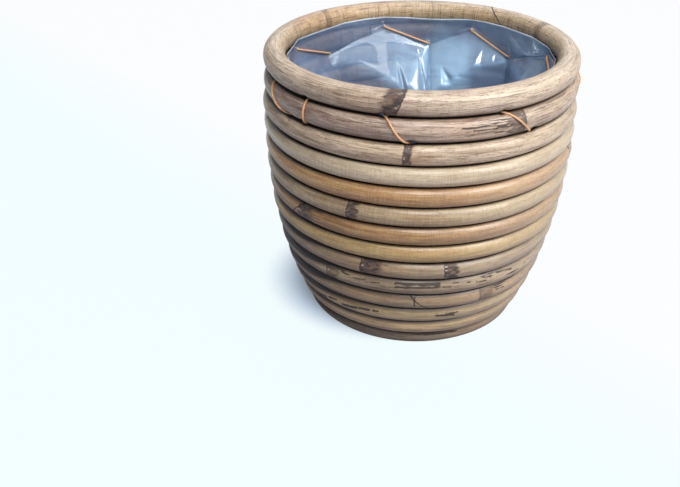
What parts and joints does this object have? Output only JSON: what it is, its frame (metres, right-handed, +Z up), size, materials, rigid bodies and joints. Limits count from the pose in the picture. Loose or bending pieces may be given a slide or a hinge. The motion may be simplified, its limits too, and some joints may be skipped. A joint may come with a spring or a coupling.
{
  "type": "cane hoop planter",
  "caption": "Round tapered plant pot cover of stacked, pinned cane hoops with a plywood floor and a clear film liner lashed to the second hoop with thread.",
  "frame": {"origin": "centre of the planter's outline in plan, at the flat of the foot hoop that it stands on", "axes": "+Z up along the planter's round axis; -Y is the side shown at the front of the picture"},
  "size_m": [0.1615, 0.1613, 0.1468],
  "materials": {
    "cane_weathered": "grey-brown weathered cane with fine streaks, satin",
    "cane_straw": "pale straw cane, satin",
    "cane_honey": "honey to orange-brown cane, satin",
    "cane_khaki": "khaki cane with dark dashes, satin",
    "cane_umber": "dark foot cane, satin",
    "plywood": "plain plywood, sanded",
    "clear_film": "clear glossy film, creased",
    "thread": "copper-orange twisted lacing thread",
    "brad_steel": "plain steel wire"
  },
  "bodies": {
    "root": {"hoop_01": "cane_weathered", "hoop_02": "cane_weathered", "hoop_03": "cane_weathered", "hoop_04": "cane_straw", "hoop_05": "cane_honey", "hoop_06": "cane_khaki", "hoop_07": "cane_honey", "hoop_08": "cane_honey", "hoop_09": "cane_khaki", "hoop_10": "cane_khaki", "hoop_11": "cane_khaki", "hoop_12": "cane_khaki", "hoop_13": "cane_khaki", "hoop_14": "cane_umber", "floor_board": "plywood", "film_liner": "clear_film", "lashing_thread": "thread", "brad_01_1": "brad_steel", "brad_01_2": "brad_steel", "brad_01_3": "brad_steel", "brad_02_1": "brad_steel", "brad_02_2": "brad_steel", "brad_02_3": "brad_steel", "brad_03_1": "brad_steel", "brad_03_2": "brad_steel", "brad_03_3": "brad_steel", "brad_04_1": "brad_steel", "brad_04_2": "brad_steel", "brad_04_3": "brad_steel", "brad_05_1": "brad_steel", "brad_05_2": "brad_steel", "brad_05_3": "brad_steel", "brad_06_1": "brad_steel", "brad_06_2": "brad_steel", "brad_06_3": "brad_steel", "brad_07_1": "brad_steel", "brad_07_2": "brad_steel", "brad_07_3": "brad_steel", "brad_08_1": "brad_steel", "brad_08_2": "brad_steel", "brad_08_3": "brad_steel", "brad_09_1": "brad_steel", "brad_09_2": "brad_steel", "brad_09_3": "brad_steel", "brad_10_1": "brad_steel", "brad_10_2": "brad_steel", "brad_10_3": "brad_steel", "brad_11_1": "brad_steel", "brad_11_2": "brad_steel", "brad_11_3": "brad_steel", "brad_12_1": "brad_steel", "brad_12_2": "brad_steel", "brad_12_3": "brad_steel", "brad_13_1": "brad_steel", "brad_13_2": "brad_steel", "brad_13_3": "brad_steel", "floor_brad_1": "brad_steel", "floor_brad_2": "brad_steel", "floor_brad_3": "brad_steel"}
  },
  "joints": []
}
